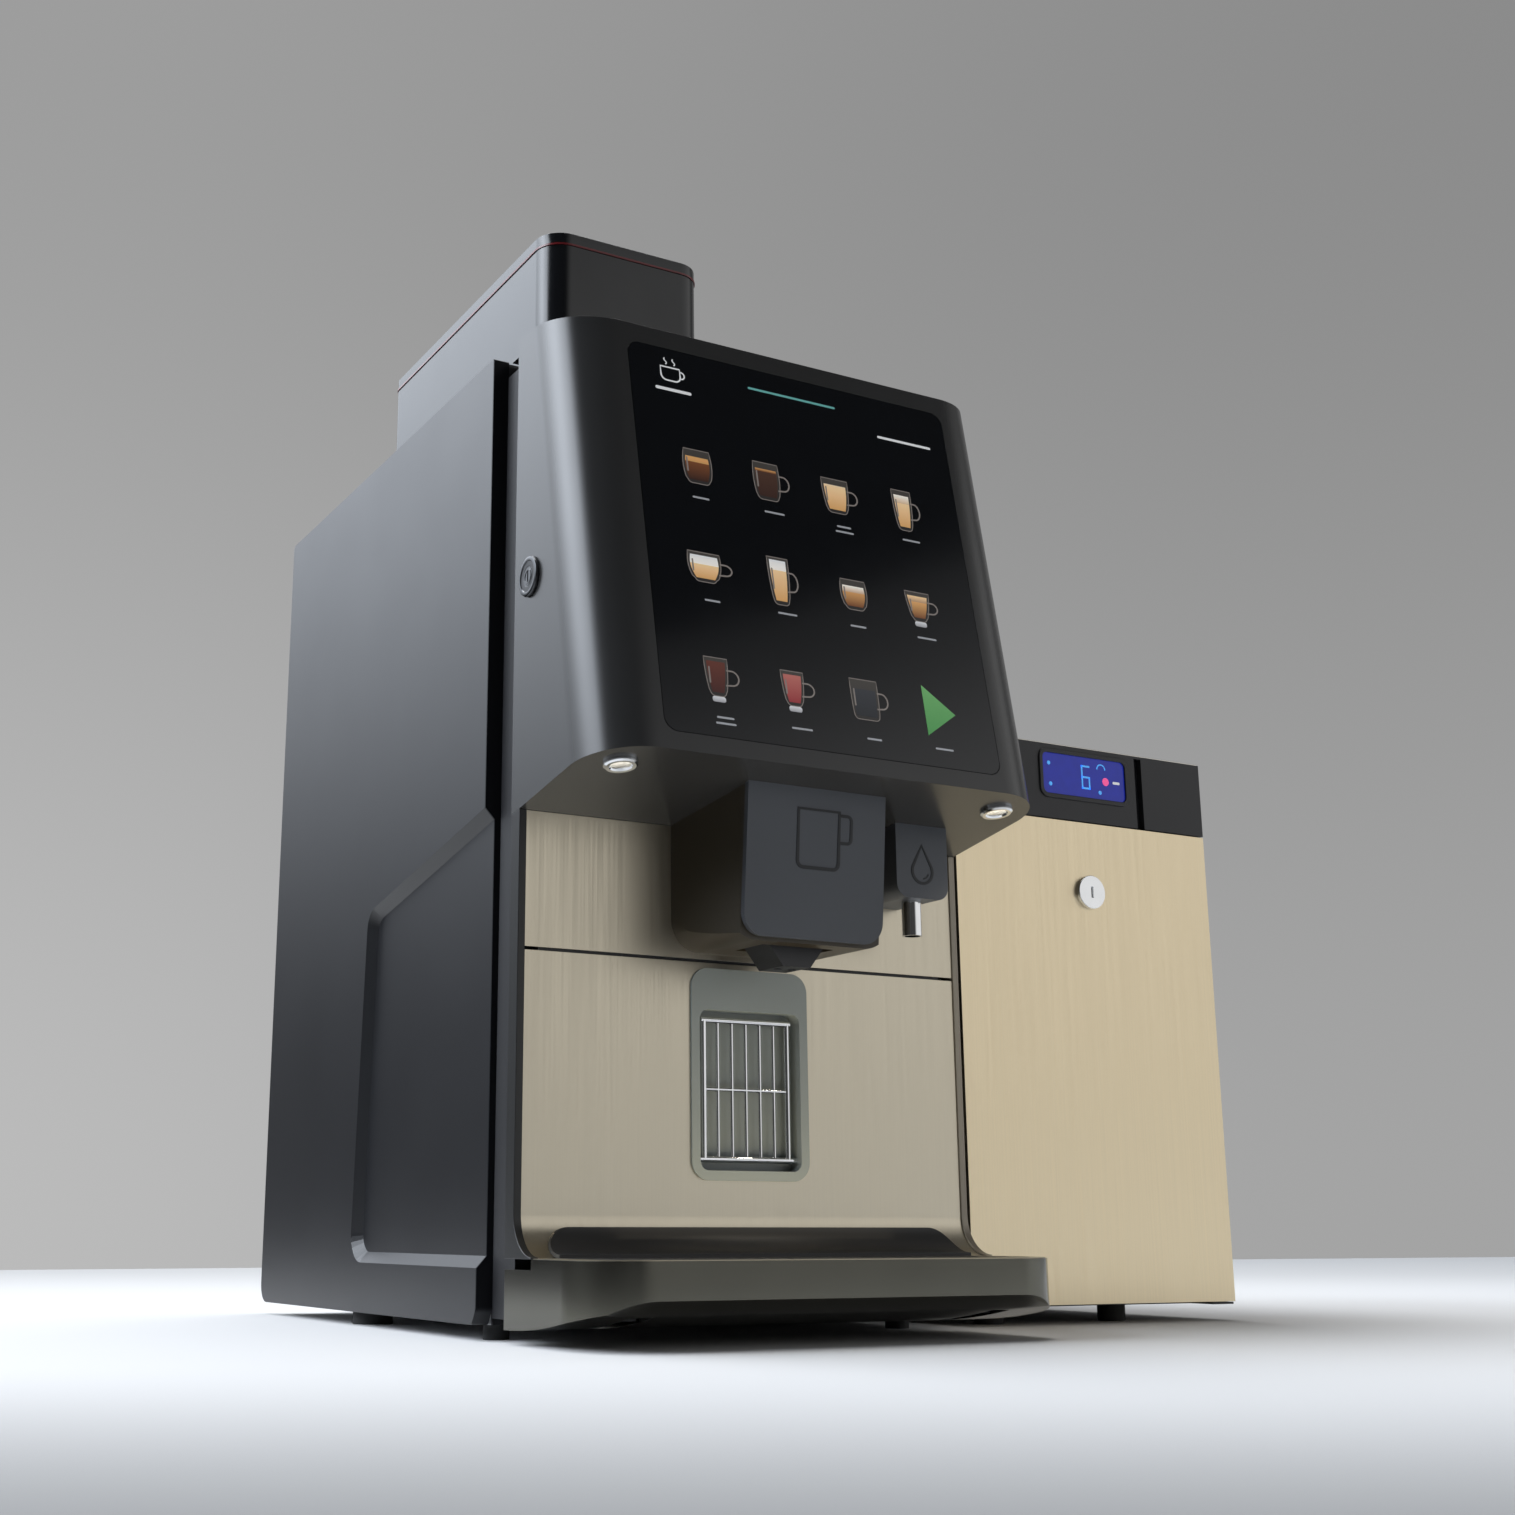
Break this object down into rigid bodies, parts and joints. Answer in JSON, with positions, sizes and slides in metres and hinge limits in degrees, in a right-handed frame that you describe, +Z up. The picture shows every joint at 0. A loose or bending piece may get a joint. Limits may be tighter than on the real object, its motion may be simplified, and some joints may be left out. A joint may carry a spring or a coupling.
{
  "type": "hot coffee vending machine",
  "caption": "Table-top hot drink machine with a leaning touch-screen door, fold-down cup shelf, drip tray, bean hopper and a docked milk cooler.",
  "frame": {"origin": "on the supporting surface, under the middle of the whole unit's bounding box", "axes": "+X to the customer's right, along the width; +Y to the back; +Z up; the customer stands at -Y"},
  "size_m": [0.609, 0.57, 0.767],
  "materials": {
    "graphite_paint": "fine satin texture",
    "door_paint": "satin",
    "champagne_steel": "vertical brushed",
    "champagne_trim": "satin",
    "black_plastic": "fine texture",
    "display_glass": "polished",
    "sheet_steel": "zinc",
    "chrome": "polished",
    "outlet_grey": "satin",
    "outlet_brown": "satin",
    "shelf_grey": "satin",
    "tray_olive": "satin gloss",
    "grille_grey": "satin",
    "smoked_plastic": "smoked, polished",
    "white_plastic": "satin",
    "motor_grey": "satin",
    "silicone": "translucent",
    "foot_rubber": "matt",
    "boiler_steel": "brushed",
    "brass": "plain",
    "screen_blue": "lit",
    "red_plastic": "polished"
  },
  "bodies": {
    "cabinet": {"side_panel_left": "graphite_paint", "side_panel_right": "graphite_paint", "base_pan": "sheet_steel", "feet": "foot_rubber", "front_frame": "sheet_steel", "door_seal": "foot_rubber", "rear_panel": "sheet_steel", "top_panel": "sheet_steel", "bulkhead": "sheet_steel", "hinge_brackets": "sheet_steel", "bean_hopper": "smoked_plastic", "grinder_housing": "motor_grey", "brewer_frame": "white_plastic", "grounds_bin": "black_plastic", "canisters": "white_plastic", "mixing_bowls": "white_plastic", "product_hoses": "silicone", "boiler": "boiler_steel", "pump": "motor_grey", "fan_frame": "black_plastic", "mains_inlet": "black_plastic", "water_inlet": "brass", "docking_duct": "black_plastic", "cooler_case": "black_plastic", "cooler_liner": "white_plastic", "cooler_band": "black_plastic", "cooler_display": "screen_blue", "milk_container": "white_plastic", "cooling_unit": "sheet_steel"},
    "door": {"door_shell": "door_paint", "door_frame": "black_plastic", "display_glass": "display_glass", "display_module": "black_plastic", "upper_splash": "champagne_steel", "lower_splash": "champagne_steel", "side_trims": "champagne_trim", "spot_bezels": "chrome", "outlet_housing": "outlet_brown", "outlet_cover": "outlet_grey", "coffee_outlets": "black_plastic", "water_cover": "outlet_grey", "water_tube": "chrome", "shelf_frame": "shelf_grey", "lock_housing": "black_plastic"},
    "lock_plug": {"lock_cylinder": "chrome"},
    "cup_shelf": {"cup_shelf": "chrome"},
    "drip_tray": {"drip_tray": "tray_olive"},
    "drip_grille": {"drip_grille": "grille_grey"},
    "hopper_lid": {"hopper_lid": "smoked_plastic"},
    "hopper_gate": {"hopper_gate": "black_plastic"},
    "grinder_burr": {"grinder_burr": "boiler_steel"},
    "brewer_piston": {"brewer_piston": "boiler_steel"},
    "auger_left": {"auger_left": "sheet_steel"},
    "auger_right": {"auger_right": "sheet_steel"},
    "whipper_left": {"whipper_left": "motor_grey"},
    "whipper_right": {"whipper_right": "motor_grey"},
    "fan_rotor": {"fan_rotor": "black_plastic"},
    "power_switch": {"power_switch": "red_plastic"},
    "cooler_door": {"cooler_door": "champagne_steel"},
    "cooler_lock": {"cooler_lock": "chrome"}
  },
  "joints": [
    {"name": "front_door", "type": "hinge", "parent": "cabinet", "child": "door", "pos_m": [0.0165, -0.156, 0.3], "axis": [0, 0, 1], "range_deg": [0, 90]},
    {"name": "door_lock", "type": "hinge", "parent": "door", "child": "lock_plug", "pos_m": [-0.2875, -0.189, 0.46], "axis": [1, 0, 0], "range_deg": [0, 90]},
    {"name": "cup_shelf_fold", "type": "hinge", "parent": "door", "child": "cup_shelf", "pos_m": [-0.1395, -0.172, 0.107], "axis": [1, 0, 0], "range_deg": [0, 90]},
    {"name": "drip_tray_slide", "type": "slide", "parent": "door", "child": "drip_tray", "axis": [0, -1, 0], "range_m": [0, 0.075]},
    {"name": "drip_grille_lift", "type": "slide", "parent": "drip_tray", "child": "drip_grille", "axis": [0, 0, 1], "range_m": [0, 0.03]},
    {"name": "hopper_lid_hinge", "type": "hinge", "parent": "cabinet", "child": "hopper_lid", "pos_m": [-0.1795, 0.219, 0.7585], "axis": [-1, 0, 0], "range_deg": [0, 80]},
    {"name": "hopper_gate_slide", "type": "slide", "parent": "cabinet", "child": "hopper_gate", "axis": [0, -1, 0], "range_m": [0, 0.055]},
    {"name": "grinder_spin", "type": "hinge", "parent": "cabinet", "child": "grinder_burr", "pos_m": [-0.1795, 0.019, 0.56], "axis": [0, 0, 1], "continuous": true},
    {"name": "brewer_stroke", "type": "slide", "parent": "cabinet", "child": "brewer_piston", "axis": [0, 0, 1], "range_m": [0, 0.035]},
    {"name": "auger_left_spin", "type": "hinge", "parent": "cabinet", "child": "auger_left", "pos_m": [-0.0795, 0.069, 0.423], "axis": [0, 1, 0], "continuous": true},
    {"name": "auger_right_spin", "type": "hinge", "parent": "cabinet", "child": "auger_right", "pos_m": [-0.0215, 0.069, 0.423], "axis": [0, 1, 0], "continuous": true},
    {"name": "whipper_left_spin", "type": "hinge", "parent": "cabinet", "child": "whipper_left", "pos_m": [-0.0795, -0.071, 0.33], "axis": [0, 1, 0], "continuous": true},
    {"name": "whipper_right_spin", "type": "hinge", "parent": "cabinet", "child": "whipper_right", "pos_m": [-0.0215, -0.071, 0.33], "axis": [0, 1, 0], "continuous": true},
    {"name": "fan_spin", "type": "hinge", "parent": "cabinet", "child": "fan_rotor", "pos_m": [-0.0555, 0.254, 0.19], "axis": [0, 1, 0], "continuous": true},
    {"name": "power_switch_rock", "type": "hinge", "parent": "cabinet", "child": "power_switch", "pos_m": [-0.2235, 0.263, 0.096], "axis": [1, 0, 0], "range_deg": [0, 14]},
    {"name": "cooler_door_hinge", "type": "hinge", "parent": "cabinet", "child": "cooler_door", "pos_m": [0.2965, -0.126, 0.2], "axis": [0, 0, -1], "range_deg": [-100, 0]},
    {"name": "cooler_lock_turn", "type": "hinge", "parent": "cooler_door", "child": "cooler_lock", "pos_m": [0.1855, -0.126, 0.309], "axis": [0, -1, 0], "range_deg": [0, 90]}
  ]
}
